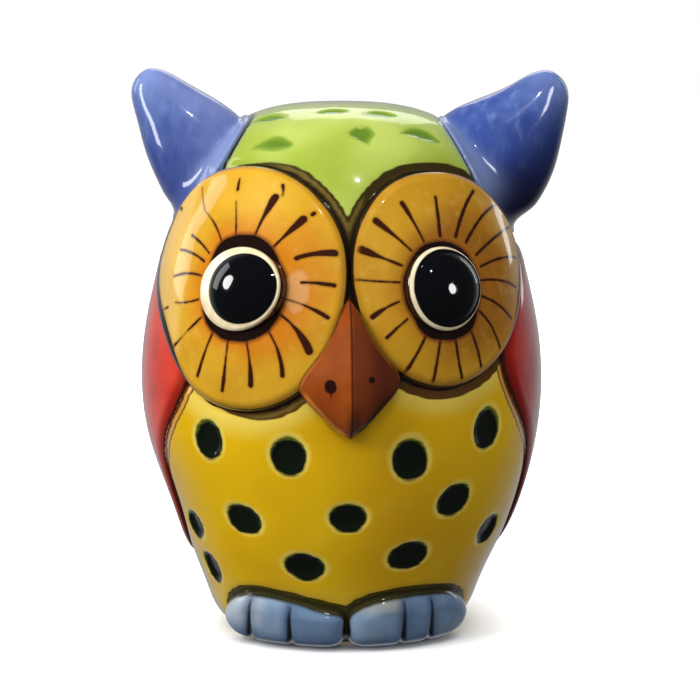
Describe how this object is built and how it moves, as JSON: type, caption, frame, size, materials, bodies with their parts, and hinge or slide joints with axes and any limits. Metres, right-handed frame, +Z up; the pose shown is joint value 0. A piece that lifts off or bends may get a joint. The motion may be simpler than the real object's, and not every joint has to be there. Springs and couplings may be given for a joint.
{
  "type": "coin bank",
  "caption": "Upright ceramic owl coin bank with ear tufts, raised eye discs, beak, wings and feet, a coin slot in its back and a pull-out stopper in its base.",
  "frame": {"origin": "on the ground under the middle of the bank's overall box, in the plane of the foot ring", "axes": "+Z up through the head, the owl faces -Y, its own left side is at +X"},
  "size_m": [0.1166, 0.1072, 0.1471],
  "materials": {
    "glazed_body": "glossy hand-painted glaze, yellow belly and back with dark dots under a yellow-green crown",
    "glazed_ear": "glossy blue glaze with brushed streaks",
    "glazed_eye_disc": "glossy golden glaze with dark brush rays",
    "glazed_eyeball": "glossy black glaze inside a cream ring",
    "glazed_beak": "glossy rust-brown glaze",
    "glazed_wing": "glossy red glaze",
    "glazed_foot": "glossy grey-blue glaze",
    "rubber": "matt moulded rubber"
  },
  "bodies": {
    "bank": {"body_shell": "glazed_body", "left_ear": "glazed_ear", "right_ear": "glazed_ear", "left_eye_disc": "glazed_eye_disc", "right_eye_disc": "glazed_eye_disc", "left_eyeball": "glazed_eyeball", "right_eyeball": "glazed_eyeball", "beak": "glazed_beak", "left_wing": "glazed_wing", "right_wing": "glazed_wing", "left_foot": "glazed_foot", "right_foot": "glazed_foot"},
    "stopper": {"stopper": "rubber"}
  },
  "joints": [
    {"name": "stopper_pull", "type": "slide", "parent": "bank", "child": "stopper", "axis": [0, 0, -1], "range_m": [0, 0.034]}
  ]
}
